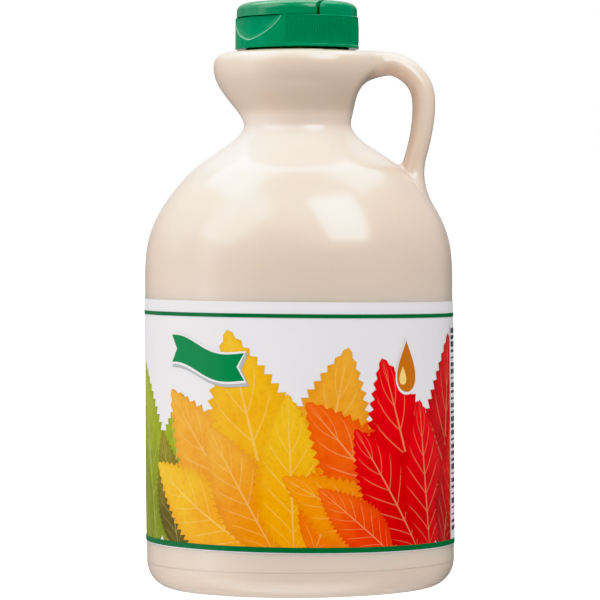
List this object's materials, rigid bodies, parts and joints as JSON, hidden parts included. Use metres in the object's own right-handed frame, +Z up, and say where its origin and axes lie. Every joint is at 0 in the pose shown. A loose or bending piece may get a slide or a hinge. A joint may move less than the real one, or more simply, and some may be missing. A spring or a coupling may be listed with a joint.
{
  "type": "maple syrup jug",
  "caption": "Round cream plastic syrup jug with a small loop handle at its flared neck, a green ribbed flip-top closure and a wrap-around paper label.",
  "frame": {"origin": "middle of the base, on the plane it stands on", "axes": "+Z up along the jug's axis, handle towards +X, front of the label towards -Y"},
  "size_m": [0.1008, 0.1008, 0.1903],
  "materials": {
    "jug_plastic": "satin cream polyethylene",
    "cap_plastic": "glossy green polypropylene, finely ribbed",
    "lid_plastic": "glossy green polypropylene, smooth",
    "label_paper": "coated paper with printed colour fields"
  },
  "bodies": {
    "root": {"jug": "jug_plastic", "cap": "cap_plastic", "flip_lid": "lid_plastic", "label": "label_paper"}
  },
  "joints": []
}
